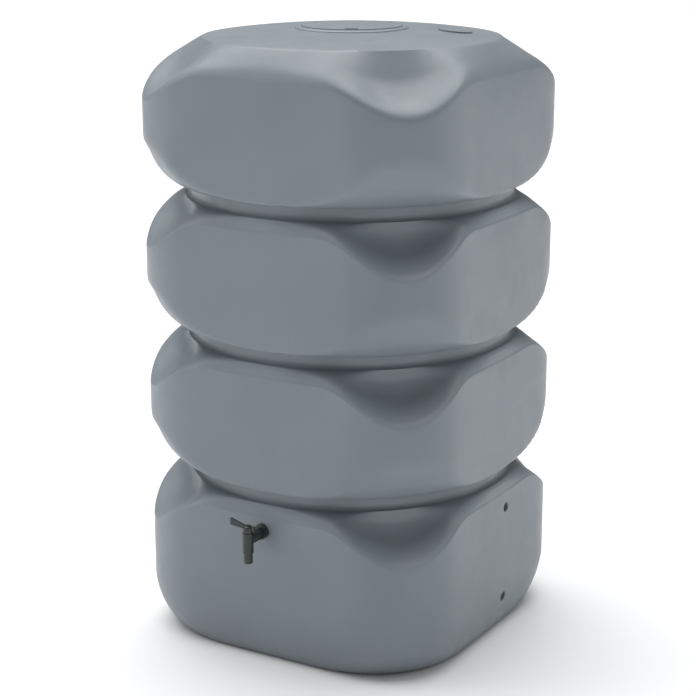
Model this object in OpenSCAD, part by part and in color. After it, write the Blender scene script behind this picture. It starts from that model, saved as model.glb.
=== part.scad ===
// Rainwater tank, one-piece moulding with four lobed tiers, a lift-off lid and a lever tap.
// Origin at the centre of the base, +Z up, the tap on the -Y side, the linking ports on the +X side.

/* [Tank body] */
// Width of the tank across its flat sides, in mm
tank_w = 700; // [560:10:840]
// Radius of the four upright corners
corner_r = 168; // [120:2:210]
// Wall thickness of the moulding
wall = 5; // [3:0.5:8]
// Number of tiers
tiers = 4; // [2:1:5]
// Height from one neck ledge to the next
tier_pitch = 288; // [250:2:330]
// Height of the lowest neck ledge above the floor
low_ledge_z = 335; // [300:5:380]

/* [Necks] */
// How far the round ledge lies inside the flat sides
ledge_inset = 10; // [6:1:30]
// How far the neck lies inside its ledge
neck_groove = 10; // [5:1:16]
// Height of each neck
neck_h = 26; // [18:1:40]

/* [Shoulders] */
// Drop from the ledge to the arch at the middle of a side
arch_drop = 22; // [14:1:34]
// Drop from the ledge to the lip at a corner
scoop_drop = 93; // [60:1:110]
// Half angle over which a corner's lip dips, in degrees
dip_angle = 24.5; // [18:0.5:32]
// Half angle of the hollowed part of a corner, in degrees
hollow_angle = 16; // [8:0.5:20]
// Share of the drop that stays upright below the ledge at a corner
upright_share = 0.42; // [0.2:0.02:0.6]
// Softness of the lip
lip_blend = 8; // [4:1:20]

/* [Underside of a tier] */
// How far the rounded underside stays inside the corners
bowl_inset = 10; // [4:1:30]
// Height of the rounded underside
bowl_h = 104; // [60:2:120]
// Height above the neck at which the corners flare out
flare_z = 80; // [60:2:100]
// Softness of the lower edge
under_blend = 6; // [4:1:20]

/* [Top] */
// Height of the top plate above the highest ledge
top_rise = 331; // [280:1:380]
// How far the edge of the top plate lies inside the flat sides
plate_inset = 49; // [30:1:80]
// Height of the top plate above its own edge
plate_crown = 15; // [6:1:24]
// Drop from the plate's edge to the lip at the middle of a side
top_arch_drop = 46; // [30:1:60]
// Drop from the plate's edge to the lip at a corner
top_scoop_drop = 106; // [80:1:120]
// Softness of the top tier's lip
top_lip_blend = 22; // [8:1:30]

/* [Foot] */
// How far the flat base lies inside the flat sides
foot_inset = 31; // [15:1:60]
// Corner radius of the flat base
foot_corner_r = 216; // [150:2:260]
// Height of the rounded lower edge
foot_h = 109; // [60:1:130]

/* [Filler neck and lid] */
// Inner radius of the filler opening
filler_r = 97; // [60:1:120]
// Depth of the filler neck below the top plate
filler_depth = 27; // [15:1:50]
// Wall of the filler neck
filler_wall = 4; // [2.5:0.5:6]
// Height of the flat seat for the lid's seal
seat_h = 1; // [0.5:0.5:4]
// Width of the raised bead round the lid
bead_w = 13; // [8:1:20]
// Height of the bead above the seat
bead_h = 3.4; // [2:0.2:5]
// Gap between the lid and the bead
lid_gap = 0.8; // [0.5:0.1:2]
// How far the lid reaches over the opening
lid_lap = 3.6; // [2:0.1:8]
// Thickness of the lid's rim
lid_rim_t = 2.6; // [1.5:0.1:6]
// Height of the lid's crown above its rim
lid_crown = 4; // [1:0.5:12]
// Wall of the lid
lid_wall = 2.6; // [2:0.1:5]
// Depth of the lid's skirt
lid_skirt = 22; // [10:1:40]
// Play between the lid's skirt and the neck
lid_play = 0.8; // [0.4:0.1:2]
// Thickness of the lid's seal
seal_t = 2; // [1:0.25:4]
// Width of a finger notch in the lid's rim
notch_w = 26; // [15:1:40]
// Depth of a finger notch, from the rim inwards
notch_d = 3; // [1.5:0.5:3.5]
// Length of the thumb hollow behind a finger notch
thumb_d = 9; // [5:1:16]
// Depth of the thumb hollow
thumb_h = 1.2; // [0.6:0.1:1.8]
// Height of the ribs under the lid
lid_rib_h = 8; // [4:1:14]
// Thickness of the ribs under the lid
lid_rib_t = 2.4; // [1.6:0.1:4]

/* [Inlet pad on the top plate] */
// Radius of the moulded pad that an inlet hose is cut into
pad_r = 34; // [20:1:45]
// Height of the pad
pad_h = 2.5; // [1:0.5:5]
// Distance of the pad from the tank's axis
pad_reach = 208; // [180:1:230]
// Direction of the pad, in degrees from +X
pad_angle = 23; // [0:1:60]

/* [Linking ports] */
// Radius of a port's threaded hole
port_r = 10.5; // [6:0.5:14]
// Depth of a port's threaded hole
port_depth = 16; // [10:1:24]
// Wall round a port
port_wall = 5; // [3:0.5:8]
// Distance of the ports from the middle of their side
port_y = 34; // [0:1:80]
// Height of the upper port
port_high_z = 275; // [240:1:285]
// Height of the lower port
port_low_z = 76; // [60:1:120]
// How far a port's boss starts under the skin
port_set = 0.4; // [0.2:0.1:1]

/* [Tap] */
// Height of the tap's inlet
tap_z = 281; // [200:1:285]
// Radius of the inlet thread
thread_r = 10.4; // [8:0.1:13.5]
// Radius of the flange against the wall
flange_r = 15.5; // [14:0.5:22]
// Thickness of the flange
flange_t = 6; // [3:0.5:10]
// Distance from the wall to the tap's upright axis
tap_reach = 52; // [44:1:70]
// Radius of the inlet tube
tube_r = 9; // [7:0.25:10.5]
// Radius of the upright barrel
barrel_r = 11; // [10:0.25:13]
// Height of the barrel above the inlet
barrel_up = 14; // [12:0.5:20]
// Depth of the barrel below the inlet
barrel_down = 27.5; // [24:0.5:40]
// Thickness of the web under the inlet tube
web_t = 4; // [2:0.5:8]
// Depth of the web below the inlet where it meets the barrel
web_h = 13; // [10:0.5:20]
// Radius of the waterway
water_r = 4.5; // [3:0.25:5]
// Radius of the turning plug
plug_r = 7.55; // [6.5:0.05:8.5]
// Running play round the plug
plug_play = 0.05; // [0.02:0.01:0.08]
// Width of the plug's square stem
stem_w = 6; // [4:0.25:8]
// Height of the stem above the barrel
stem_h = 9; // [5:0.5:11]
// Wire radius of the plug's seal rings
oring_r = 0.7; // [0.5:0.05:1]
// Distance of the seal rings above and below the inlet
oring_gap = 8; // [6.5:0.25:9.5]

/* [Tap lever] */
// Height of the lever's hub
hub_h = 15.5; // [12:0.5:20]
// Length of the blade from the upright axis
blade_l = 40; // [28:1:55]
// Height of the blade at its tip
blade_h = 14; // [8:0.5:18]
// Thickness of the blade
blade_t = 4; // [2.5:0.5:6]
// How far the tip rises above the hub's top
blade_lift = 8; // [0:0.5:12]
// Length of the lever's short tail from the upright axis
tail_l = 16.5; // [12:0.5:20]
// Height of the tail
tail_h = 10; // [5:0.5:12]
// How far the hub stays inside the barrel's edge
hub_inset = 1; // [0.2:0.1:2]

/* [Tap spout] */
// Outer radius of the spout
spout_r = 9.1; // [7:0.1:10]
// Length of the spout below the barrel
spout_l = 22; // [14:1:34]
// Length of the spout's thread inside the barrel
spout_thread = 7; // [4:0.5:9]
// Radius of the spout's thread
spout_thread_r = 6.9; // [5.5:0.1:7.5]
// Thickness of the spout's seal
spout_seal_t = 1.5; // [1:0.25:3]
// How far the spout seal's hole stands back from the waterway
seal_play = 0.6; // [0.2:0.1:1.5]

/* [Back nut and washers] */
// Thickness of the rubber washer outside the wall
washer_t = 2; // [1:0.25:4]
// Thickness of the washer inside the wall
slip_t = 1.5; // [0.8:0.1:3]
// Width of the back nut across its flats
nut_af = 32; // [28:1:42]
// Thickness of the back nut
nut_t = 8; // [5:0.5:12]
// Radial play between threads
thread_play = 0.3; // [0.2:0.05:0.5]

/* [View] */
// Piece to show

/* [Hidden] */
$fn = 64;
eps = 0.05;
seat_gap = 0.1;
lid_notches = 3;
notch_angle = -60;
half = tank_w/2;
ledge_r = half - ledge_inset;
neck_r = ledge_r - neck_groove;
plate_r = half - plate_inset;
reach_r = (half - corner_r)*sqrt(2) + corner_r;
bowl_r = reach_r - bowl_inset;
top_ledge_z = low_ledge_z + (tiers - 2)*tier_pitch;
top_z = top_ledge_z + top_rise;
edge_z = top_z - plate_crown;
bead_r = filler_r + lid_lap + lid_gap;
flat_r = bead_r + bead_w + 6;
seat_z = top_z + seat_h;
lid_r = filler_r + lid_lap;
lid_z = seat_z + seal_t + 2*seat_gap;
skirt_r = filler_r - lid_play;
axis_y = -half - tap_reach;
barrel_top_z = tap_z + barrel_up;
barrel_end_z = tap_z - barrel_down;
bore_r = plug_r + plug_play;
chamber_z = barrel_end_z + spout_thread + spout_seal_t + 2*seat_gap;
hub_z = barrel_top_z + 0.3;
tank_colour = [0.46, 0.49, 0.52];
tap_colour = [0.13, 0.15, 0.15];
rubber_colour = [0.09, 0.09, 0.09];

// Rings of the skins: angles of a quarter, shares of the drop below a ledge, of the rise above a neck
fine_steps = [0, 9, 17, 24, 30, 35.5, 40.5, 45];
coarse_steps = [0, 16, 28, 34, 39.5, 45];
fine_drops = [0.1, 0.28, 0.45, 0.62, 0.8, 0.93, 1.04, 1.5];
coarse_drops = [0.15, 0.42, 0.7, 1.05, 1.5];
fine_rises = [1, 0.74, 0.44, 0.2, 0.06, 0];
coarse_rises = [0.9, 0.45, 0.14, 0];
fine_plate = [0, 0.4, 0.75, 1];
coarse_plate = [0, 0.6, 1];
fine_foot = [1, 0.8, 0.58, 0.38, 0.2, 0.07, 0];
coarse_foot = [1, 0.6, 0.27, 0.06, 0];

function quarter(steps) = concat(steps, [for (i = [len(steps) - 2:-1:1]) 90 - steps[i]]);
function turn(steps) = [for (q = [0:3]) for (s = quarter(steps)) 90*q + s];
function from_corner(a) = abs((a % 90) - 45);

// Radius of a rounded square of half width h and corner radius c in direction a
function square_r(a, h, c) =
    let (t = 45 - from_corner(a), u = h - c)
    h*tan(t) <= u ? h/cos(t)
        : u*(cos(t) + sin(t)) + sqrt(max(c*c - pow(u*(cos(t) - sin(t)), 2), 0));
// Smaller of two radii, blended over k
function soft_min(x, y, k) = min(x, y) - pow(max(k - abs(x - y), 0)/k, 2)*k/4;
// Zero below 0 and x above it, blended over k
function soft_ramp(x, k) = x < -k ? 0 : x > k ? x : pow(x + k, 2)/(4*k);
function dip(a) = from_corner(a) < dip_angle ? (1 + cos(180*from_corner(a)/dip_angle))/2 : 0;
function hollow(a) = exp(-pow(from_corner(a)/hollow_angle, 4));
// Way out from the ledge to the side wall, for a share s of the drop
function bulge(s) = pow(max(min(s, 1), 0), 0.5) + 3*max(s - 1, 0);
function scoop(s) = soft_ramp(s - upright_share, 0.2)/(1 - upright_share);
function cone(s) = pow(max(min(s, 1), 0), 0.92) + max(s - 1, 0);
function cone_scoop(s) = 0.65*s + 0.93*soft_ramp(s - 0.62, 0.18);
function mix(a, x, y) = hollow(a)*x + (1 - hollow(a))*y;

// Radius of the skin in direction a at height z, set in by t
function wall_r(a, t) = square_r(a, half - t, corner_r - t);
function drop(a) = arch_drop + (scoop_drop - arch_drop)*dip(a);
function top_drop(a) = top_arch_drop + (top_scoop_drop - top_arch_drop)*dip(a);
function shoulder_r(a, down, t) =
    let (s = down/drop(a))
    ledge_r - t + (wall_r(a, t) - ledge_r + t)*mix(a, scoop(s), bulge(s));
function top_r(a, down, t) =
    let (s = down/top_drop(a))
    plate_r - t/2 + (wall_r(a, t) - plate_r + t/2)*mix(a, cone_scoop(s), cone(s));
function under_r(up, t) =
    let (s = min(up/bowl_h, 1))
    neck_r - t + (bowl_r - neck_r)*sqrt(1 - pow(1 - s, 2)) + soft_ramp((up - flare_z)*0.7, 14);
function tier_r(a, z, ledge, neck, t) =
    let (down = ledge - z, blend = max(2, min(0.8*down, lip_blend)))
    soft_min(soft_min(wall_r(a, t), shoulder_r(a, down, t), blend), under_r(z - neck, t), under_blend);
function top_tier_r(a, z, neck, t) =
    soft_min(soft_min(wall_r(a, t), top_r(a, edge_z - t - z, t), top_lip_blend),
             under_r(z - neck, t), under_blend);
function foot_r(a, s, t) =
    let (w = wall_r(a, t))
    w + (square_r(a, half - foot_inset - t, foot_corner_r - t) - w)*pow(1 - sqrt(1 - pow(1 - s, 2)), 0.8);

function ledge_z(i) = low_ledge_z + i*tier_pitch;
function plate_z(s, t) = top_z - t - plate_crown*pow(s, 1.8);
// Heights of a neck from its top down to the ledge, with the cove that ends it
function neck_rings(i, t, angles, steps) =
    let (r0 = neck_r - t, cove = neck_groove, z = ledge_z(i) - t)
    concat([[for (a = angles) [r0*cos(a), r0*sin(a), z + cove]]],
           [for (s = steps) let (r = r0 + cove*(1 - cos(s)))
            [for (a = angles) [r*cos(a), r*sin(a), z + cove*(1 - sin(s))]]]);
function ring(rz) = [for (p = rz) [p[1]*cos(p[0]), p[1]*sin(p[0]), p[2]]];

// Rings of one tier: down its shoulder, then down its underside to the neck below
function tier_rings(i, t, angles, drops, rises) =
    let (ledge = ledge_z(i) - t, neck = i > 0 ? ledge_z(i - 1) + neck_h + t : -tier_pitch)
    concat([for (s = drops)
                ring([for (a = angles) let (z = ledge - s*drop(a)) [a, tier_r(a, z, ledge, neck, t), z]])],
           i == 0 ? [] : [for (u = rises) let (z = neck + u*bowl_h)
                ring([for (a = angles) [a, tier_r(a, z, ledge, neck, t), z]])]);
function top_rings(t, angles, drops, rises) =
    let (neck = ledge_z(tiers - 2) + neck_h + t)
    concat([for (s = drops)
                ring([for (a = angles) let (z = edge_z - t - s*top_drop(a)) [a, top_tier_r(a, z, neck, t), z]])],
           [for (u = rises) let (z = neck + u*bowl_h)
                ring([for (a = angles) [a, top_tier_r(a, z, neck, t), z]])]);

// Rings of a whole skin from the top plate down to the base
function skin(t, angles, plate, drops, rises, foot, cove) = concat(
    [for (s = plate) let (r = flat_r - t/2 + (plate_r - flat_r)*s)
        [for (a = angles) [r*cos(a), r*sin(a), plate_z(s, t)]]],
    top_rings(t, angles, drops, rises),
    [for (i = [tiers - 2:-1:0]) each concat(neck_rings(i, t, angles, cove),
                                            tier_rings(i, t, angles, drops, rises))],
    [for (s = foot) ring([for (a = angles) [a, foot_r(a, s, t), t + s*(foot_h - t)]])]);

// Closed solid through rings of n points each, with a fan of triangles at either end
module rings_solid(rings) {
    n = len(rings[0]);
    m = len(rings);
    polyhedron(
        points = concat([for (r = rings) each r], [[0, 0, rings[0][0][2]], [0, 0, rings[m - 1][0][2]]]),
        faces = concat(
            [for (j = [0:n - 1]) [m*n, (j + 1) % n, j]],
            [for (i = [0:m - 2]) for (j = [0:n - 1])
                let (k = (j + 1) % n, swap = (floor(8*j/n) % 2) == 0)
                each swap ? [[i*n + j, i*n + k, (i + 1)*n + j], [i*n + k, (i + 1)*n + k, (i + 1)*n + j]]
                          : [[i*n + j, i*n + k, (i + 1)*n + k], [i*n + j, (i + 1)*n + k, (i + 1)*n + j]]],
            [for (j = [0:n - 1]) [m*n + 1, (m - 1)*n + j, (m - 1)*n + (j + 1) % n]]));
}

module at_tap() translate([0, -half, tap_z]) rotate([90, 0, 0]) children();
// Where a port's boss starts: just under the skin at the boss's lowest point
function port_face(z) =
    let (low = z - port_r - port_wall)
    (low < foot_h ? foot_r(0, low/foot_h, 0) : half) - port_set;
module at_port(z) translate([port_face(z), port_y, z]) rotate([0, -90, 0]) children();

module filler_neck() {
    rotate_extrude()
        polygon(concat(
            [[filler_r, top_z - filler_depth], [filler_r + filler_wall, top_z - filler_depth],
             [filler_r + filler_wall, top_z - wall/2], [bead_r + bead_w, top_z - wall/2]],
            [for (a = [0:15:90]) [bead_r + bead_w*cos(a), top_z + (seat_h + bead_h)*sin(a)]],
            [[bead_r, seat_z], [filler_r, seat_z]]));
}

// The pad stands square on the slope of the plate
module inlet_pad() {
    span = plate_r - flat_r;
    at = (pad_reach - flat_r)/span;
    slope = atan(1.8*plate_crown*pow(at, 0.8)/span);
    rotate([0, 0, pad_angle])
        translate([pad_reach, 0, plate_z(at, 0)])
            rotate([0, slope, 0]) translate([0, 0, -wall/2])
                cylinder(r = pad_r, h = wall/2 + pad_h);
}

module tank_shell() {
    color(tank_colour)
    difference() {
        union() {
            difference() {
                rings_solid(skin(0, turn(fine_steps), fine_plate, fine_drops, fine_rises, fine_foot, [60, 90]));
                rings_solid(skin(wall, turn(coarse_steps), coarse_plate, coarse_drops, coarse_rises,
                                 coarse_foot, [90]));
                translate([0, 0, top_z - 3*wall]) cylinder(r = filler_r + filler_wall/2, h = 6*wall);
            }
            filler_neck();
            inlet_pad();
            for (z = [port_low_z, port_high_z])
                at_port(z) cylinder(r = port_r + port_wall, h = port_depth + port_wall);
        }
        at_tap() translate([0, 0, -3*wall]) cylinder(r = thread_r + thread_play, h = 6*wall);
        for (z = [port_low_z, port_high_z])
            at_port(z) translate([0, 0, -2*wall]) cylinder(r = port_r, h = port_depth + 2*wall);
    }
}

module lid() {
    crown_r = lid_r;
    color(tank_colour)
    difference() {
        union() {
            rotate_extrude()
                polygon(concat(
                    [for (i = [0:8]) let (x = crown_r*i/8) [x, lid_z + lid_rim_t + lid_crown*(1 - pow(i/8, 2))]],
                    [[lid_r, lid_z], [skirt_r, lid_z], [skirt_r, lid_z - lid_skirt],
                     [skirt_r - lid_wall, lid_z - lid_skirt], [skirt_r - lid_wall, lid_z]],
                    [for (i = [7:-1:0]) let (x = (skirt_r - lid_wall)*i/8)
                        [x, lid_z + lid_crown*(1 - pow(i/8, 2))]]));
            for (a = [0:60:120]) rotate([0, 0, a])
                translate([-skirt_r + lid_wall/2, -lid_rib_t/2, lid_z - lid_rib_h])
                    cube([2*skirt_r - lid_wall, lid_rib_t, lid_rib_h + lid_rim_t/2]);
        }
        for (i = [0:lid_notches - 1]) rotate([0, 0, notch_angle + 360*i/lid_notches]) {
            translate([lid_r - notch_d, -notch_w/2, lid_z - eps]) cube([2*notch_d, notch_w, 2*lid_rim_t + lid_crown]);
            translate([lid_r - notch_d - thumb_d, -notch_w/2, lid_z + lid_rim_t - thumb_h])
                cube([thumb_d + 2*notch_d, notch_w, lid_crown + 2*thumb_h]);
        }
    }
}

module lid_seal() {
    color(rubber_colour)
    translate([0, 0, seat_z + seat_gap])
        difference() {
            cylinder(r = lid_r - 1, h = seal_t);
            translate([0, 0, -1]) cylinder(r = skirt_r + 0.3, h = seal_t + 2);
        }
}

module tap_body() {
    color(tap_colour)
    difference() {
        union() {
            at_tap() {
                translate([0, 0, washer_t + 2*seat_gap]) cylinder(r = flange_r, h = flange_t);
                translate([0, 0, -wall - slip_t - nut_t - 4])
                    cylinder(r = thread_r, h = wall + slip_t + nut_t + 4 + washer_t + flange_t);
                translate([0, 0, washer_t]) cylinder(r = tube_r, h = tap_reach - washer_t);
            }
            translate([0, axis_y, barrel_end_z]) cylinder(r = barrel_r, h = barrel_top_z - barrel_end_z);
            translate([-web_t/2, 0, 0]) rotate([90, 0, 90]) linear_extrude(web_t)
                polygon([[axis_y, tap_z - web_h], [axis_y, tap_z],
                         [-half - washer_t - flange_t/2, tap_z],
                         [-half - washer_t - flange_t/2, tap_z - flange_r + 1]]);
        }
        translate([0, axis_y, chamber_z]) cylinder(r = bore_r, h = barrel_top_z);
        translate([0, axis_y, barrel_end_z - 1]) cylinder(r = spout_thread_r + thread_play, h = chamber_z);
        at_tap() translate([0, 0, -wall - slip_t - nut_t - 5])
            cylinder(r = water_r, h = wall + slip_t + nut_t + 5 + tap_reach);
    }
}

module plug_groove(z) {
    translate([0, 0, z - oring_r - 0.3]) difference() {
        cylinder(r = plug_r + 1, h = 2*oring_r + 0.6);
        translate([0, 0, -1]) cylinder(r = bore_r - 0.3 - 2*oring_r - 0.3, h = 2*oring_r + 3);
    }
}

module tap_plug() {
    color([0.82, 0.82, 0.8])
    translate([0, axis_y, tap_z])
    difference() {
        union() {
            translate([0, 0, chamber_z - tap_z + 0.3]) cylinder(r = plug_r, h = barrel_top_z - chamber_z - 0.3);
            translate([-stem_w/2, -stem_w/2, barrel_up - 1]) cube([stem_w, stem_w, stem_h + 1]);
        }
        rotate([0, 90, 0]) cylinder(r = water_r, h = 2*plug_r);
        translate([0, 0, -barrel_down]) cylinder(r = water_r - 0.5, h = barrel_down);
        plug_groove(oring_gap);
        plug_groove(-oring_gap);
    }
}

module plug_seal(z) {
    color(rubber_colour)
    translate([0, axis_y, tap_z + z])
        rotate_extrude() translate([bore_r - 0.3 - oring_r, 0]) circle(r = oring_r, $fn = 32);
}
module plug_seal_upper() plug_seal(oring_gap);
module plug_seal_lower() plug_seal(-oring_gap);

module tap_lever() {
    hub_r = barrel_r - hub_inset;
    dome_h = 6;
    color(tap_colour)
    translate([0, axis_y, hub_z])
    difference() {
        union() {
            rotate_extrude() polygon(concat(
                [[0, 0], [hub_r - 0.4, 0], [hub_r, 0.6], [hub_r, hub_h - dome_h]],
                [for (a = [10:10:90]) [hub_r*cos(a), hub_h - dome_h + dome_h*sin(a)]]));
            translate([0, blade_t/2, 0]) rotate([90, 0, 0]) linear_extrude(blade_t)
                polygon([[0, hub_h - 9], [0, hub_h - 1.5], [-hub_r + 3, hub_h - 1.2],
                         [-blade_l + 1, hub_h + blade_lift], [-blade_l, hub_h + blade_lift - 1],
                         [-blade_l, hub_h + blade_lift - blade_h + 1],
                         [-blade_l + 1, hub_h + blade_lift - blade_h], [-hub_r + 2, hub_h - 9]]);
            translate([0, blade_t/2, 0]) rotate([90, 0, 0]) linear_extrude(blade_t)
                polygon([[0, hub_h - dome_h], [0, hub_h - 1.5], [hub_r - 2, hub_h - 1.5], [tail_l - 1, hub_h - 1.5],
                         [tail_l, hub_h - 2.5], [tail_l, hub_h - 0.5 - tail_h], [tail_l - 1, hub_h - 1.5 - tail_h],
                         [hub_r - 2, hub_h - 1.5 - tail_h], [0, hub_h - 1.5 - tail_h]]);
        }
        translate([-stem_w/2 - 0.15, -stem_w/2 - 0.15, -1]) cube([stem_w + 0.3, stem_w + 0.3, stem_h + 1]);
    }
}

module tap_spout() {
    color(tap_colour)
    translate([0, axis_y, barrel_end_z - 0.1])
    difference() {
        union() {
            rotate_extrude() polygon([[0, 0], [spout_r, 0], [spout_r, -spout_l + 1], [spout_r - 1, -spout_l], [0, -spout_l]]);
            cylinder(r = spout_thread_r, h = spout_thread);
        }
        translate([0, 0, -spout_l - 1]) cylinder(r = water_r, h = spout_l + spout_thread + 2);
    }
}

module spout_seal() {
    color(rubber_colour)
    translate([0, axis_y, chamber_z - spout_seal_t - seat_gap])
        difference() {
            cylinder(r = spout_thread_r, h = spout_seal_t);
            translate([0, 0, -1]) cylinder(r = water_r + seal_play, h = spout_seal_t + 2);
        }
}

module ring_washer(r, h) {
    difference() {
        cylinder(r = r, h = h);
        translate([0, 0, -1]) cylinder(r = thread_r + thread_play, h = h + 2);
    }
}
module tap_washer() {
    color(rubber_colour) at_tap() translate([0, 0, seat_gap]) ring_washer(flange_r - 0.3, washer_t);
}
module slip_washer() {
    color([0.75, 0.75, 0.73]) at_tap() translate([0, 0, -wall - seat_gap - slip_t]) ring_washer(nut_af/2, slip_t);
}
module back_nut() {
    color(tap_colour) at_tap() translate([0, 0, -wall - slip_t - 2*seat_gap - nut_t])
        difference() {
            cylinder(r = nut_af/sqrt(3), h = nut_t, $fn = 6);
            translate([0, 0, -1]) cylinder(r = thread_r + thread_play, h = nut_t + 2);
        }
}

tank_shell();
lid();
lid_seal();
tap_body();
tap_plug();
plug_seal_upper();
plug_seal_lower();
tap_lever();
tap_spout();
spout_seal();
tap_washer();
slip_washer();
back_nut();
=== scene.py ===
"""Dresses the rainwater tank: a fine moulded skin, port threads, finishes and a plain studio."""

import math

import bmesh
import bpy
from bpy.props import FloatProperty, FloatVectorProperty, IntProperty, PointerProperty
from mathutils import Matrix, Vector


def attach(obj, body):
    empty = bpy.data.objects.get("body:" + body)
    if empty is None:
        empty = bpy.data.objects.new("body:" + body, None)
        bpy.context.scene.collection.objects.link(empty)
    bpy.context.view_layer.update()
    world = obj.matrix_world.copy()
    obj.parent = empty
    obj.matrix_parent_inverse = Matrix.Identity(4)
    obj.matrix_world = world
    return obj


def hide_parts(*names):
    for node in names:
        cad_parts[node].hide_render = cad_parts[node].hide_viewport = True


bl_info = {
    "name": "Rainwater Tank Dressing",
    "version": (1, 0, 0),
    "blender": (4, 5, 0),
    "location": "3D View > Sidebar > Tank",
    "description": "Moulded skin, port threads, finishes and studio for a lobed rainwater tank",
    "category": "Object",
}

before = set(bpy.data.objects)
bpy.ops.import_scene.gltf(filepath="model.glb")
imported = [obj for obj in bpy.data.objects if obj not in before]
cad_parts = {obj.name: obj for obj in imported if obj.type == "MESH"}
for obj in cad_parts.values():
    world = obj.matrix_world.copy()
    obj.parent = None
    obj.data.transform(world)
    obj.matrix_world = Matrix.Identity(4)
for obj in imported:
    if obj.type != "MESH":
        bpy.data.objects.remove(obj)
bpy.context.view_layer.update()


class TankShape(bpy.types.PropertyGroup):
    """Sizes of the tank's moulded body."""

    half_width: FloatProperty(name="Half width", description="Half the width across the flat sides",
                              default=0.35, min=0.2, max=0.6, subtype="DISTANCE", unit="LENGTH")
    corner_radius: FloatProperty(name="Corner radius", description="Radius of the four upright corners",
                                 default=0.168, min=0.05, max=0.3, subtype="DISTANCE", unit="LENGTH")
    wall: FloatProperty(name="Wall", description="Thickness of the moulding",
                        default=0.005, min=0.002, max=0.02, subtype="DISTANCE", unit="LENGTH")
    tiers: IntProperty(name="Tiers", description="Number of lobed tiers", default=4, min=2, max=6)
    pitch: FloatProperty(name="Tier pitch", description="Height from one neck ledge to the next",
                         default=0.288, min=0.2, max=0.4, subtype="DISTANCE", unit="LENGTH")
    low_ledge: FloatProperty(name="Lowest ledge", description="Height of the lowest neck ledge",
                             default=0.335, min=0.2, max=0.5, subtype="DISTANCE", unit="LENGTH")
    ledge_inset: FloatProperty(name="Ledge inset",
                               description="How far the round ledge lies inside the sides",
                               default=0.010, min=0.0, max=0.05, subtype="DISTANCE", unit="LENGTH")
    neck_groove: FloatProperty(name="Neck groove", description="How far the neck lies inside its ledge",
                               default=0.010, min=0.002, max=0.03, subtype="DISTANCE", unit="LENGTH")
    neck_height: FloatProperty(name="Neck height", description="Height of each round neck",
                               default=0.026, min=0.01, max=0.06, subtype="DISTANCE", unit="LENGTH")
    arch_drop: FloatProperty(name="Arch drop", description="Drop from the ledge to the arch at mid side",
                             default=0.022, min=0.01, max=0.06, subtype="DISTANCE", unit="LENGTH")
    scoop_drop: FloatProperty(name="Scoop drop", description="Drop from the ledge to the lip at a corner",
                              default=0.093, min=0.03, max=0.15, subtype="DISTANCE", unit="LENGTH")
    dip_angle: FloatProperty(name="Dip angle",
                             description="Half angle over which a corner's lip dips, in degrees",
                             default=24.5, min=10.0, max=40.0)
    hollow_angle: FloatProperty(name="Hollow angle",
                                description="Half angle of the hollowed corner, in degrees",
                                default=16.0, min=4.0, max=30.0)
    upright_share: FloatProperty(name="Upright share", description="Share of the drop that stays upright",
                                 default=0.42, min=0.1, max=0.8)
    lip_blend: FloatProperty(name="Lip softness", description="Blend of the shoulder into the side",
                             default=0.008, min=0.002, max=0.03, subtype="DISTANCE", unit="LENGTH")
    bowl_inset: FloatProperty(name="Bowl inset",
                              description="How far the rounded underside stays inside the corners",
                              default=0.010, min=0.0, max=0.05, subtype="DISTANCE", unit="LENGTH")
    bowl_height: FloatProperty(name="Bowl height", description="Height of the rounded underside",
                               default=0.104, min=0.04, max=0.2, subtype="DISTANCE", unit="LENGTH")
    flare_height: FloatProperty(name="Flare height", description="Height at which the corners flare out",
                                default=0.080, min=0.04, max=0.2, subtype="DISTANCE", unit="LENGTH")
    under_blend: FloatProperty(name="Lower edge softness", description="Blend of the side into the underside",
                               default=0.006, min=0.002, max=0.03, subtype="DISTANCE", unit="LENGTH")
    top_rise: FloatProperty(name="Top rise", description="Height of the top plate above the highest ledge",
                            default=0.331, min=0.2, max=0.5, subtype="DISTANCE", unit="LENGTH")
    plate_inset: FloatProperty(name="Plate inset",
                               description="How far the top plate's edge lies inside the sides",
                               default=0.049, min=0.02, max=0.1, subtype="DISTANCE", unit="LENGTH")
    plate_crown: FloatProperty(name="Plate crown", description="Height of the top plate above its own edge",
                               default=0.015, min=0.0, max=0.04, subtype="DISTANCE", unit="LENGTH")
    top_arch_drop: FloatProperty(name="Top arch drop",
                                 description="Drop from the plate's edge to the lip at mid side",
                                 default=0.046, min=0.02, max=0.1, subtype="DISTANCE", unit="LENGTH")
    top_scoop_drop: FloatProperty(name="Top scoop drop",
                                  description="Drop from the plate's edge to the lip at a corner",
                                  default=0.106, min=0.05, max=0.2, subtype="DISTANCE", unit="LENGTH")
    top_lip_blend: FloatProperty(name="Top lip softness", description="Blend of the top slope into the side",
                                 default=0.022, min=0.002, max=0.05, subtype="DISTANCE", unit="LENGTH")
    foot_inset: FloatProperty(name="Foot inset", description="How far the flat base lies inside the sides",
                              default=0.031, min=0.0, max=0.1, subtype="DISTANCE", unit="LENGTH")
    foot_corner: FloatProperty(name="Foot corner radius", description="Corner radius of the flat base",
                               default=0.216, min=0.05, max=0.32, subtype="DISTANCE", unit="LENGTH")
    foot_height: FloatProperty(name="Foot height", description="Height of the rounded lower edge",
                               default=0.109, min=0.02, max=0.2, subtype="DISTANCE", unit="LENGTH")
    around: IntProperty(name="Steps around", description="Mesh steps round the tank", default=192, min=48,
                        max=384)


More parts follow.
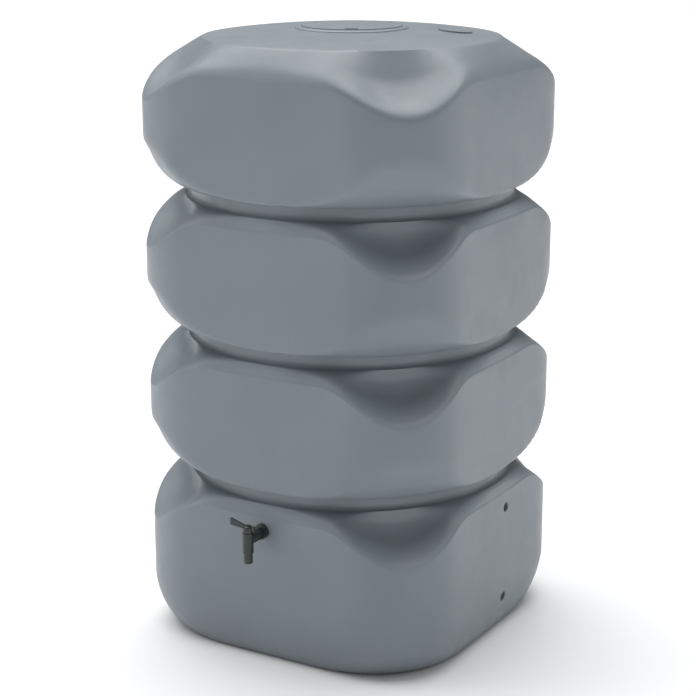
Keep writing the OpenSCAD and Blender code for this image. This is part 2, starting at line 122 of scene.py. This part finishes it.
class TankFittings(bpy.types.PropertyGroup):
    """Sizes of the filler neck, the pad, the ports and the tap hole."""

    filler_radius: FloatProperty(name="Filler radius", description="Inner radius of the filler opening",
                                 default=0.097, min=0.05, max=0.15, subtype="DISTANCE", unit="LENGTH")
    filler_depth: FloatProperty(name="Filler depth",
                                description="Depth of the filler neck below the top plate",
                                default=0.027, min=0.01, max=0.05, subtype="DISTANCE", unit="LENGTH")
    filler_wall: FloatProperty(name="Filler wall", description="Wall of the filler neck",
                               default=0.004, min=0.002, max=0.01, subtype="DISTANCE", unit="LENGTH")
    seat_height: FloatProperty(name="Seat height", description="Height of the flat seat for the lid's seal",
                               default=0.001, min=0.0, max=0.005, subtype="DISTANCE", unit="LENGTH")
    bead_radius: FloatProperty(name="Bead radius", description="Inner radius of the bead round the lid",
                               default=0.1014, min=0.05, max=0.2, subtype="DISTANCE", unit="LENGTH")
    bead_width: FloatProperty(name="Bead width", description="Width of the bead round the lid",
                              default=0.013, min=0.004, max=0.03, subtype="DISTANCE", unit="LENGTH")
    bead_height: FloatProperty(name="Bead height", description="Height of the bead above the top plate",
                               default=0.0044, min=0.001, max=0.01, subtype="DISTANCE", unit="LENGTH")
    bead_land: FloatProperty(name="Bead land", description="Flat stretch round the bead",
                             default=0.006, min=0.001, max=0.02, subtype="DISTANCE", unit="LENGTH")
    pad_radius: FloatProperty(name="Pad radius", description="Radius of the inlet pad on the top plate",
                              default=0.034, min=0.01, max=0.05, subtype="DISTANCE", unit="LENGTH")
    pad_height: FloatProperty(name="Pad height", description="Height of the inlet pad",
                              default=0.0025, min=0.0005, max=0.01, subtype="DISTANCE", unit="LENGTH")
    pad_reach: FloatProperty(name="Pad reach", description="Distance of the pad from the tank's axis",
                             default=0.208, min=0.15, max=0.25, subtype="DISTANCE", unit="LENGTH")
    pad_angle: FloatProperty(name="Pad direction", description="Direction of the pad from +X, in degrees",
                             default=23.0, min=0.0, max=90.0)
    port_radius: FloatProperty(name="Port radius", description="Radius of a linking port's hole",
                               default=0.0105, min=0.005, max=0.02, subtype="DISTANCE", unit="LENGTH")
    port_depth: FloatProperty(name="Port depth", description="Depth of a linking port's hole",
                              default=0.016, min=0.005, max=0.03, subtype="DISTANCE", unit="LENGTH")
    port_wall: FloatProperty(name="Port wall", description="Wall round a linking port",
                             default=0.005, min=0.002, max=0.01, subtype="DISTANCE", unit="LENGTH")
    port_side: FloatProperty(name="Port offset",
                             description="Distance of the ports from the middle of their side",
                             default=0.034, min=0.0, max=0.1, subtype="DISTANCE", unit="LENGTH")
    port_high: FloatProperty(name="Upper port", description="Height of the upper port",
                             default=0.275, min=0.2, max=0.3, subtype="DISTANCE", unit="LENGTH")
    port_low: FloatProperty(name="Lower port", description="Height of the lower port",
                            default=0.076, min=0.04, max=0.12, subtype="DISTANCE", unit="LENGTH")
    tap_height: FloatProperty(name="Tap height", description="Height of the tap's hole",
                              default=0.281, min=0.2, max=0.3, subtype="DISTANCE", unit="LENGTH")
    tap_hole: FloatProperty(name="Tap hole", description="Radius of the hole for the tap's thread",
                            default=0.0107, min=0.005, max=0.02, subtype="DISTANCE", unit="LENGTH")


class TankFinish(bpy.types.PropertyGroup):
    """Colours of the tank and its fittings."""

    tank_colour: FloatVectorProperty(name="Tank", description="Colour of the moulded body and lid",
                                     subtype="COLOR",
                                     size=3, min=0, max=1, default=(0.205, 0.235, 0.258))
    tap_colour: FloatVectorProperty(name="Tap", description="Colour of the tap's plastic", subtype="COLOR",
                                    size=3, min=0, max=1, default=(0.018, 0.026, 0.025))
    plug_colour: FloatVectorProperty(name="Plug", description="Colour of the plug and slip washer",
                                     subtype="COLOR",
                                     size=3, min=0, max=1, default=(0.7, 0.7, 0.67))
    rubber_colour: FloatVectorProperty(name="Rubber", description="Colour of the seals", subtype="COLOR",
                                       size=3, min=0, max=1, default=(0.018, 0.018, 0.018))
    floor_colour: FloatVectorProperty(name="Floor", description="Colour of the floor", subtype="COLOR",
                                      size=3, min=0, max=1, default=(0.9, 0.9, 0.9))


# The form of the body.

def from_corner(angle):
    return abs(angle % 90.0 - 45.0)


def square_radius(angle, half, corner):
    """Distance to the outline of a rounded square in a direction."""
    off = math.radians(45.0 - from_corner(angle))
    flat = half - corner
    if half * math.tan(off) <= flat:
        return half / math.cos(off)
    root = corner ** 2 - (flat * (math.cos(off) - math.sin(off))) ** 2
    return flat * (math.cos(off) + math.sin(off)) + math.sqrt(max(root, 0.0))


def soft_min(a, b, blend):
    return min(a, b) - (max(blend - abs(a - b), 0.0) / blend) ** 2 * blend / 4.0


def soft_ramp(x, blend):
    if x < -blend:
        return 0.0
    return x if x > blend else (x + blend) ** 2 / (4.0 * blend)


# Shares and softnesses of the shoulder, the top's cone, the underside and the foot.
SCOOP_SOFTNESS = 0.2
FLANK_POWER = 0.5
FLANK_OVERRUN = 1.6
CONE_SLOPE = 0.65
CONE_BEND = 0.62
CONE_BEND_SLOPE = 0.93
CONE_SOFTNESS = 0.18
CONE_POWER = 0.92
FLARE_SLOPE = 0.7
FLARE_SOFTNESS = 0.014
LEAST_BLEND = 0.002
BLEND_SHARE = 0.8
FOOT_POWER = 0.8
PLATE_POWER = 1.8
PORT_SET = 0.0004

# How the rows of the skin are spaced.
DROP_REACH = 1.3
DROP_POWER = 1.15
RISE_REACH = 1.15
RISE_POWER = 1.8
COVE_LEAD = 0.004
BELOW_THE_BASE = -1.0
BASE_RINGS = (0.93, 0.6, 0.3, 0.0)


class TankForm:
    """Radius of the moulded body in any direction at any height."""

    def __init__(self, shape):
        self.s = shape
        self.ledge = shape.half_width - shape.ledge_inset
        self.neck = self.ledge - shape.neck_groove
        self.plate = shape.half_width - shape.plate_inset
        reach = (shape.half_width - shape.corner_radius) * math.sqrt(2) + shape.corner_radius
        self.bowl = reach - shape.bowl_inset
        self.top_ledge = shape.low_ledge + (shape.tiers - 2) * shape.pitch
        self.top = self.top_ledge + shape.top_rise
        self.edge = self.top - shape.plate_crown

    def dip(self, angle):
        off = from_corner(angle)
        return (1 + math.cos(math.pi * off / self.s.dip_angle)) / 2 if off < self.s.dip_angle else 0.0

    def hollow(self, angle):
        return math.exp(-(from_corner(angle) / self.s.hollow_angle) ** 4)

    def drop(self, angle):
        return self.s.arch_drop + (self.s.scoop_drop - self.s.arch_drop) * self.dip(angle)

    def top_drop(self, angle):
        return self.s.top_arch_drop + (self.s.top_scoop_drop - self.s.top_arch_drop) * self.dip(angle)

    def side(self, angle, inset):
        return square_radius(angle, self.s.half_width - inset, self.s.corner_radius - inset)

    def blend(self, angle, scoop, flank):
        share = self.hollow(angle)
        return share * scoop + (1 - share) * flank

    def shoulder(self, angle, down, inset):
        share = down / self.drop(angle)
        scoop = soft_ramp(share - self.s.upright_share, SCOOP_SOFTNESS) / (1 - self.s.upright_share)
        flank = max(min(share, 1.0), 0.0) ** FLANK_POWER + FLANK_OVERRUN * max(share - 1, 0.0)
        start = self.ledge - inset
        return start + (self.side(angle, inset) - start) * self.blend(angle, scoop, flank)

    def top_slope(self, angle, down, inset):
        share = down / self.top_drop(angle)
        scoop = CONE_SLOPE * share + CONE_BEND_SLOPE * soft_ramp(share - CONE_BEND, CONE_SOFTNESS)
        flank = max(min(share, 1.0), 0.0) ** CONE_POWER + max(share - 1, 0.0)
        start = self.plate - inset / 2
        return start + (self.side(angle, inset) - start) * self.blend(angle, scoop, flank)

    def under(self, up, inset):
        share = min(max(up, 0.0) / self.s.bowl_height, 1.0)
        round_part = (self.bowl - self.neck) * math.sqrt(1 - (1 - share) ** 2)
        flare = soft_ramp((up - self.s.flare_height) * FLARE_SLOPE, FLARE_SOFTNESS)
        return self.neck - inset + round_part + flare

    def tier(self, angle, height, ledge, neck, inset):
        down = ledge - height
        blend = max(LEAST_BLEND, min(BLEND_SHARE * down, self.s.lip_blend))
        upper = soft_min(self.side(angle, inset), self.shoulder(angle, down, inset), blend)
        return soft_min(upper, self.under(height - neck, inset), self.s.under_blend)

    def top_tier(self, angle, height, neck, inset):
        upper = soft_min(self.side(angle, inset), self.top_slope(angle, self.edge - inset - height, inset),
                         self.s.top_lip_blend)
        return soft_min(upper, self.under(height - neck, inset), self.s.under_blend)

    def foot(self, angle, share, inset):
        side = self.side(angle, inset)
        base = square_radius(angle, self.s.half_width - self.s.foot_inset - inset, self.s.foot_corner - inset)
        return side + (base - side) * (1 - math.sqrt(1 - (1 - share) ** 2)) ** FOOT_POWER

    def port_face(self, fit, height):
        """Where a port's boss starts: just under the skin at the boss's lowest point."""
        low = height - fit.port_radius - fit.port_wall
        share = low / self.s.foot_height
        return (self.foot(0.0, share, 0.0) if share < 1 else self.s.half_width) - PORT_SET

    def plate_height(self, share, inset):
        return self.top - inset - self.s.plate_crown * share ** PLATE_POWER

    def rows(self, inset, start, fine):
        """Rows of (radius, height) from the top plate down to the base, one pair for each angle."""
        s = self.s
        angles = [360.0 * step / s.around for step in range(s.around)]
        plate_steps = 14 if fine else 5
        drop_steps = 26 if fine else 9
        rise_steps = 16 if fine else 7
        cove_steps = 8 if fine else 3
        foot_steps = 18 if fine else 7
        rows = []

        def round_row(radius, height):
            rows.append([(radius, height)] * len(angles))

        for k in range(plate_steps + 1):
            share = k / plate_steps
            round_row(start + (self.plate - inset / 2 - start) * share, self.plate_height(share, inset))
        for tier in range(s.tiers - 1, -1, -1):
            if tier < s.tiers - 1:
                ledge = s.low_ledge + tier * s.pitch - inset
                round_row(self.neck - inset, ledge + s.neck_groove + COVE_LEAD)
                for k in range(cove_steps + 1):
                    turn = math.pi / 2 * k / cove_steps
                    round_row(self.neck - inset + s.neck_groove * (1 - math.cos(turn)),
                              ledge + s.neck_groove * (1 - math.sin(turn)))
            else:
                ledge = None
            neck = s.low_ledge + (tier - 1) * s.pitch + s.neck_height + inset if tier > 0 else BELOW_THE_BASE
            for k in range(1, drop_steps + 1):
                share = DROP_REACH * (k / drop_steps) ** DROP_POWER
                row = []
                for angle in angles:
                    if ledge is None:
                        height = self.edge - inset - share * self.top_drop(angle)
                        row.append((self.top_tier(angle, height, neck, inset), height))
                    else:
                        height = ledge - share * self.drop(angle)
                        row.append((self.tier(angle, height, ledge, neck, inset), height))
                rows.append(row)
            if tier > 0:
                for k in range(rise_steps, -1, -1):
                    height = neck + RISE_REACH * s.bowl_height * (k / rise_steps) ** RISE_POWER
                    row = []
                    for angle in angles:
                        radius = (self.top_tier(angle, height, neck, inset) if ledge is None
                                  else self.tier(angle, height, ledge, neck, inset))
                        row.append((radius, height))
                    rows.append(row)
        for k in range(foot_steps + 1):
            share = 1 - math.sin(math.pi / 2 * k / foot_steps)
            height = inset + share * (s.foot_height - inset)
            rows.append([(self.foot(angle, share, inset), height) for angle in angles])
        for share in BASE_RINGS:
            rows.append([(self.foot(angle, 0, inset) * share, inset) for angle in angles])
        return rows


# Mesh helpers.

def object_from(bm, name, sharp_angle=38.0):
    """Makes a smooth-shaded object at the origin from a bmesh and frees the bmesh."""
    mesh = bpy.data.meshes.new(name)
    for face in bm.faces:
        face.smooth = True
    bm.to_mesh(mesh)
    bm.free()
    mesh.set_sharp_from_angle(angle=math.radians(sharp_angle))
    piece = bpy.data.objects.new(name, mesh)
    bpy.context.scene.collection.objects.link(piece)
    return piece


def close_shape(bm):
    bmesh.ops.remove_doubles(bm, verts=bm.verts, dist=1e-6)
    bmesh.ops.dissolve_degenerate(bm, edges=bm.edges, dist=1e-7)
    bmesh.ops.recalc_face_normals(bm, faces=bm.faces)


def wrapped(rows):
    """Lays a grid over rows of (radius, height) and closes it round +Z."""
    around = len(rows[0])
    bm = bmesh.new()
    bmesh.ops.create_grid(bm, x_segments=around, y_segments=len(rows) - 1, size=0.5)
    bm.verts.ensure_lookup_table()
    columns = len({round(v.co.x, 6) for v in bm.verts}) - 1
    levels = len({round(v.co.y, 6) for v in bm.verts}) - 1
    if columns != around or levels != len(rows) - 1:
        raise RuntimeError("the grid for the skin has %d x %d steps" % (columns, levels))
    for vert in bm.verts:
        column = round((vert.co.x + 0.5) * columns)
        radius, height = rows[round((vert.co.y + 0.5) * levels)][column % around]
        turn = math.tau * column / around
        vert.co = (radius * math.cos(turn), radius * math.sin(turn), height)
    close_shape(bm)
    return bm


def rod(radius, low, high, segments=96):
    """A plain cutter or boss along a line between two points."""
    low, high = Vector(low), Vector(high)
    bm = bmesh.new()
    bmesh.ops.create_cone(bm, cap_ends=True, segments=segments, radius1=radius, radius2=radius,
                          depth=(high - low).length)
    turn = Vector((0, 0, 1)).rotation_difference(high - low).to_matrix().to_4x4()
    bmesh.ops.transform(bm, matrix=Matrix.Translation((low + high) / 2) @ turn, verts=bm.verts)
    return object_from(bm, "cutter")


def carve(piece, steps, sharp_angle=38.0):
    """Joins and cuts a piece with other solids, in order, and leaves no modifier."""
    for operation, tool in steps:
        change = piece.modifiers.new(operation, "BOOLEAN")
        change.operation = operation
        change.solver = "EXACT"
        change.object = tool
    bpy.context.view_layer.update()
    result = bpy.data.meshes.new_from_object(piece.evaluated_get(bpy.context.evaluated_depsgraph_get()))
    if not result.polygons:
        raise RuntimeError("carving %s left nothing" % piece.name)
    piece.modifiers.clear()
    piece.data = result
    for operation, tool in steps:
        bpy.data.objects.remove(tool)
    result.polygons.foreach_set("use_smooth", [True] * len(result.polygons))
    result.set_sharp_from_angle(angle=math.radians(sharp_angle))


# Finishes.

def shader(name):
    material = bpy.data.materials.new(name)
    material.use_nodes = True
    tree = material.node_tree
    return material, tree, tree.nodes["Principled BSDF"]


def noise(tree, place, scale, detail, roughness=0.5):
    node = tree.nodes.new("ShaderNodeTexNoise")
    node.inputs["Scale"].default_value = scale
    node.inputs["Detail"].default_value = detail
    node.inputs["Roughness"].default_value = roughness
    tree.links.new(place.outputs["Object"], node.inputs["Vector"])
    return node


def spread(tree, source, low, high, from_low=0.35, from_high=0.65):
    node = tree.nodes.new("ShaderNodeMapRange")
    node.inputs["From Min"].default_value = from_low
    node.inputs["From Max"].default_value = from_high
    node.inputs["To Min"].default_value = low
    node.inputs["To Max"].default_value = high
    tree.links.new(source, node.inputs["Value"])
    return node.outputs["Result"]


def tinted(tree, factor, low, high):
    node = tree.nodes.new("ShaderNodeMix")
    node.data_type = "RGBA"
    node.inputs["A"].default_value = (*low, 1)
    node.inputs["B"].default_value = (*high, 1)
    tree.links.new(factor, node.inputs["Factor"])
    return node.outputs["Result"]


def bumped(tree, height, strength, distance, before=None):
    node = tree.nodes.new("ShaderNodeBump")
    node.inputs["Strength"].default_value = strength
    node.inputs["Distance"].default_value = distance
    tree.links.new(height, node.inputs["Height"])
    if before is not None:
        tree.links.new(before, node.inputs["Normal"])
    return node.outputs["Normal"]


def moulded_plastic(name, colour, roughness, mottle, grain, grain_depth, ripple_depth, shine=0.5):
    """Moulded plastic: cloudy colour, rubbed patches, a fine mould grain and slow ripples."""
    material, tree, plastic = shader(name)
    place = tree.nodes.new("ShaderNodeTexCoord")
    clouds = noise(tree, place, 5.0, 3.0)
    rubbed = noise(tree, place, 24.0, 5.0, 0.6)
    fine = noise(tree, place, grain, 3.0, 0.6)
    ripples = noise(tree, place, 9.0, 1.5)
    paler = tuple(min(c * (1 + mottle), 1.0) for c in colour)
    darker = tuple(c * (1 - mottle) for c in colour)
    tree.links.new(tinted(tree, spread(tree, clouds.outputs["Fac"], 0, 1), darker, paler),
                   plastic.inputs["Base Color"])
    tree.links.new(spread(tree, rubbed.outputs["Fac"], roughness - 0.05, roughness + 0.05),
                   plastic.inputs["Roughness"])
    slow = bumped(tree, ripples.outputs["Fac"], 0.5, ripple_depth)
    tree.links.new(bumped(tree, fine.outputs["Fac"], 0.35, grain_depth, slow), plastic.inputs["Normal"])
    plastic.inputs["Specular IOR Level"].default_value = shine
    plastic.inputs["IOR"].default_value = 1.5
    return material


def finish_node(name, material):
    """Gives a carried-over CAD node its finish."""
    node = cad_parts[name]
    node.data.materials.clear()
    node.data.materials.append(material)


# Operators.

SKIN_SHARP = 30.0
EDGE_SOFTNESS = 0.0006
BEAD_STEPS = 10
INNER_LAND = 0.006
PORT_CUT_REACH = 0.01
TAP_CUT_OUT = 0.02
TAP_CUT_IN = 0.03
FALL_STEP = 0.01


class TANK_OT_skin(bpy.types.Operator):
    """Makes the tank's moulded skin, with its filler neck, tap hole and ports"""

    bl_idname = "tank.skin"
    bl_label = "Moulded skin"

    def execute(self, context):
        shape, fit = context.scene.tank_shape, context.scene.tank_fittings
        form = TankForm(shape)
        around = shape.around
        seat = form.top + fit.seat_height
        flat = fit.bead_radius + fit.bead_width + fit.bead_land
        neck_outer = fit.filler_radius + fit.filler_wall
        neck_foot = form.top - fit.filler_depth
        inner = form.rows(shape.wall, neck_outer + INNER_LAND, False)
        soft = EDGE_SOFTNESS
        neck = [(neck_outer, form.top - shape.wall), (neck_outer, neck_foot), (fit.filler_radius, neck_foot),
                (fit.filler_radius, seat - soft), (fit.filler_radius + soft, seat),
                (fit.bead_radius, seat), (fit.bead_radius, form.top + fit.bead_height - soft)]
        for k in range(BEAD_STEPS + 1):
            turn = math.pi / 2 * (1 - k / BEAD_STEPS)
            neck.append((fit.bead_radius + soft + (fit.bead_width - soft) * math.cos(turn),
                         form.top + fit.bead_height * math.sin(turn)))
        outer = form.rows(0.0, flat, True)
        rows = list(reversed(inner)) + [[point] * around for point in neck] + outer
        skin = object_from(wrapped(rows), "moulded_skin", SKIN_SHARP)
        face = shape.half_width
        steps = [("UNION", self.pad(form, fit, flat))]
        for height in (fit.port_low, fit.port_high):
            front = form.port_face(fit, height)
            boss_end = front - fit.port_depth - fit.port_wall
            steps.append(("UNION", rod(fit.port_radius + fit.port_wall, (front, fit.port_side, height),
                                       (boss_end, fit.port_side, height))))
            steps.append(("DIFFERENCE", rod(fit.port_radius, (face + PORT_CUT_REACH, fit.port_side, height),
                                            (front - fit.port_depth, fit.port_side, height))))
        steps.append(("DIFFERENCE", rod(fit.tap_hole, (0, -face - TAP_CUT_OUT, fit.tap_height),
                                        (0, -face + TAP_CUT_IN, fit.tap_height))))
        carve(skin, steps, SKIN_SHARP)
        skin.data.materials.clear()
        skin.data.materials.append(bpy.data.materials["tank plastic"])
        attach(skin, "tank")
        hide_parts("tank_shell")
        return {"FINISHED"}

    def pad(self, form, fit, flat):
        """A low round pad that stands square on the slope of the top plate."""
        share = (fit.pad_reach - flat) / (form.plate - flat)
        height = form.plate_height(share, 0.0)
        before, after = (form.plate_height(share + way * FALL_STEP, 0.0) for way in (-1, 1))
        fall = (before - after) / (2 * FALL_STEP)
        turn = math.radians(fit.pad_angle)
        out = Vector((math.cos(turn), math.sin(turn), 0.0))
        up = (Vector((0, 0, 1)) * (form.plate - flat) + out * fall).normalized()
        centre = out * fit.pad_reach + Vector((0, 0, height))
        return rod(fit.pad_radius, centre - up * form.s.wall / 2, centre + up * fit.pad_height)


THREAD_PITCH = 0.0018
THREAD_TURNS = 6
THREAD_STEPS = 48
THREAD_ROOT = 0.0002
THREAD_RISE = 0.0009
THREAD_HALF = 0.0008
THREAD_START = 0.0016


class TANK_OT_ports(bpy.types.Operator):
    """Winds a thread into each linking port"""

    bl_idname = "tank.ports"
    bl_label = "Port threads"

    def execute(self, context):
        shape, fit = context.scene.tank_shape, context.scene.tank_fittings
        form = TankForm(shape)
        for name, height in (("port_thread_low", fit.port_low), ("port_thread_high", fit.port_high)):
            bm = bmesh.new()
            radius = fit.port_radius
            ridge = [(radius + THREAD_ROOT, 0.0, -THREAD_HALF), (radius - THREAD_RISE, 0.0, 0.0),
                     (radius + THREAD_ROOT, 0.0, THREAD_HALF)]
            verts = [bm.verts.new(point) for point in ridge]
            edges = [bm.edges.new(pair) for pair in zip(verts, verts[1:])]
            bmesh.ops.spin(bm, geom=verts + edges, cent=(0, 0, 0), axis=(0, 0, 1),
                           dvec=(0, 0, THREAD_PITCH / THREAD_STEPS), angle=math.tau * THREAD_TURNS,
                           steps=THREAD_STEPS * THREAD_TURNS, use_duplicate=False)
            bmesh.ops.recalc_face_normals(bm, faces=bm.faces)
            turn = Matrix.Rotation(-math.pi / 2, 4, "Y")
            start = Matrix.Translation((form.port_face(fit, height) - THREAD_START, fit.port_side, height))
            bmesh.ops.transform(bm, matrix=start @ turn, verts=bm.verts)
            centre = Vector((0, fit.port_side, height))
            for face in bm.faces:
                middle = face.calc_center_median() - centre
                if face.normal.dot(Vector((0, middle.y, middle.z))) > 0:
                    face.normal_flip()
            thread = object_from(bm, name, SKIN_SHARP)
            thread.data.materials.append(bpy.data.materials["tank plastic"])
            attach(thread, "tank")
        return {"FINISHED"}


class TANK_OT_finish(bpy.types.Operator):
    """Gives the lid, the tap and the seals their finishes"""

    bl_idname = "tank.finish"
    bl_label = "Finishes"

    def execute(self, context):
        finish_node("lid", bpy.data.materials["tank plastic"])
        for name in ("tap_body", "tap_lever", "tap_spout", "back_nut"):
            finish_node(name, bpy.data.materials["tap plastic"])
        for name in ("tap_plug", "slip_washer"):
            finish_node(name, bpy.data.materials["plug plastic"])
        for name in ("lid_seal", "tap_washer", "spout_seal", "plug_seal_upper", "plug_seal_lower"):
            finish_node(name, bpy.data.materials["seal rubber"])
        return {"FINISHED"}


class TANK_OT_materials(bpy.types.Operator):
    """Makes the plastics and the rubber"""

    bl_idname = "tank.materials"
    bl_label = "Materials"

    def execute(self, context):
        finish = context.scene.tank_finish
        moulded_plastic("tank plastic", tuple(finish.tank_colour), 0.42, 0.035, 1400.0, 0.0002, 0.0012)
        moulded_plastic("tap plastic", tuple(finish.tap_colour), 0.3, 0.12, 2200.0, 0.00005, 0.0002)
        moulded_plastic("plug plastic", tuple(finish.plug_colour), 0.35, 0.04, 2000.0, 0.00005, 0.0002)
        moulded_plastic("seal rubber", tuple(finish.rubber_colour), 0.7, 0.15, 1600.0, 0.0001, 0.0002, 0.3)
        return {"FINISHED"}


def soft_lamp(name, azimuth, elevation, distance, size, power, aim, colour=(1, 1, 1)):
    lamp = bpy.data.lights.new(name, "AREA")
    lamp.shape = "RECTANGLE"
    lamp.size, lamp.size_y = size
    lamp.energy = power
    lamp.color = colour
    holder = bpy.data.objects.new(name, lamp)
    a, e = math.radians(azimuth), math.radians(elevation)
    back = Vector((math.sin(a) * math.cos(e), -math.cos(a) * math.cos(e), math.sin(e)))
    holder.location = Vector(aim) + back * distance
    holder.rotation_euler = (-back).to_track_quat("-Z", "Y").to_euler()
    bpy.context.scene.collection.objects.link(holder)
    return holder


class TANK_OT_stage(bpy.types.Operator):
    """Sets the camera, the floor, the lamps and the pale world"""

    bl_idname = "tank.stage"
    bl_label = "Stage"

    def execute(self, context):
        scene = context.scene
        lens = bpy.data.cameras.new("camera")
        lens.lens = 94.49
        lens.sensor_width = 36.0
        lens.shift_x = -0.00556
        camera = bpy.data.objects.new("camera", lens)
        camera.location = (1.8808, -3.1930, 1.5908)
        aim = Vector((0.0, 0.0, 0.5753))
        camera.rotation_euler = (aim - camera.location).to_track_quat("-Z", "Y").to_euler()
        scene.collection.objects.link(camera)
        scene.camera = camera

        bm = bmesh.new()
        bmesh.ops.create_grid(bm, x_segments=1, y_segments=1, size=14.0)
        floor = object_from(bm, "floor")
        material, tree, surface = shader("floor")
        surface.inputs["Base Color"].default_value = (*scene.tank_finish.floor_colour, 1)
        surface.inputs["Roughness"].default_value = 0.9
        surface.inputs["Specular IOR Level"].default_value = 0.1
        floor.data.materials.append(material)

        world = bpy.data.worlds.new("studio")
        world.use_nodes = True
        scene.world = world
        tree = world.node_tree
        tree.nodes.clear()
        out = tree.nodes.new("ShaderNodeOutputWorld")
        mix = tree.nodes.new("ShaderNodeMixShader")
        light = tree.nodes.new("ShaderNodeBackground")
        light.inputs["Color"].default_value = (0.96, 0.98, 1.0, 1)
        light.inputs["Strength"].default_value = 0.3
        seen = tree.nodes.new("ShaderNodeBackground")
        seen.inputs["Color"].default_value = (1, 1, 1, 1)
        seen.inputs["Strength"].default_value = 1.0
        path = tree.nodes.new("ShaderNodeLightPath")
        either = tree.nodes.new("ShaderNodeMath")
        either.operation = "MAXIMUM"
        tree.links.new(path.outputs["Is Camera Ray"], either.inputs[0])
        tree.links.new(path.outputs["Is Transmission Ray"], either.inputs[1])
        tree.links.new(either.outputs[0], mix.inputs["Fac"])
        tree.links.new(light.outputs[0], mix.inputs[1])
        tree.links.new(seen.outputs[0], mix.inputs[2])
        tree.links.new(mix.outputs[0], out.inputs["Surface"])

        middle = (0, 0, 0.62)
        sky = bpy.data.lights.new("overhead", "SUN")
        sky.energy = 3.3
        sky.angle = math.radians(70)
        above = bpy.data.objects.new("overhead", sky)
        above.rotation_euler = (math.radians(-12), math.radians(-14), 0)
        scene.collection.objects.link(above)
        soft_lamp("left", -60, 25, 3.6, (1.6, 2.6), 24, middle)
        soft_lamp("right", 118, 20, 3.6, (1.6, 2.6), 14, middle)
        scene.view_settings.view_transform = "Standard"
        return {"FINISHED"}


class TANK_PT_panel(bpy.types.Panel):
    """Lists the tank's pieces and its settings"""

    bl_label = "Rainwater tank"
    bl_idname = "TANK_PT_panel"
    bl_space_type = "VIEW_3D"
    bl_region_type = "UI"
    bl_category = "Tank"

    def draw(self, context):
        for operator in OPERATORS:
            self.layout.operator(operator.bl_idname)
        for group in (context.scene.tank_shape, context.scene.tank_fittings, context.scene.tank_finish):
            box = self.layout.box()
            for name in group.__annotations__:
                box.prop(group, name)


OPERATORS = (TANK_OT_materials, TANK_OT_skin, TANK_OT_ports, TANK_OT_finish, TANK_OT_stage)
CLASSES = (TankShape, TankFittings, TankFinish) + OPERATORS + (TANK_PT_panel,)


def register():
    for cls in CLASSES:
        bpy.utils.register_class(cls)
    bpy.types.Scene.tank_shape = PointerProperty(type=TankShape)
    bpy.types.Scene.tank_fittings = PointerProperty(type=TankFittings)
    bpy.types.Scene.tank_finish = PointerProperty(type=TankFinish)


def unregister():
    for name in ("tank_shape", "tank_fittings", "tank_finish"):
        delattr(bpy.types.Scene, name)
    for cls in reversed(CLASSES):
        bpy.utils.unregister_class(cls)


def main():
    register()
    for operator in OPERATORS:
        group, name = operator.bl_idname.split(".")
        getattr(getattr(bpy.ops, group), name)()


if __name__ == "__main__":
    main()
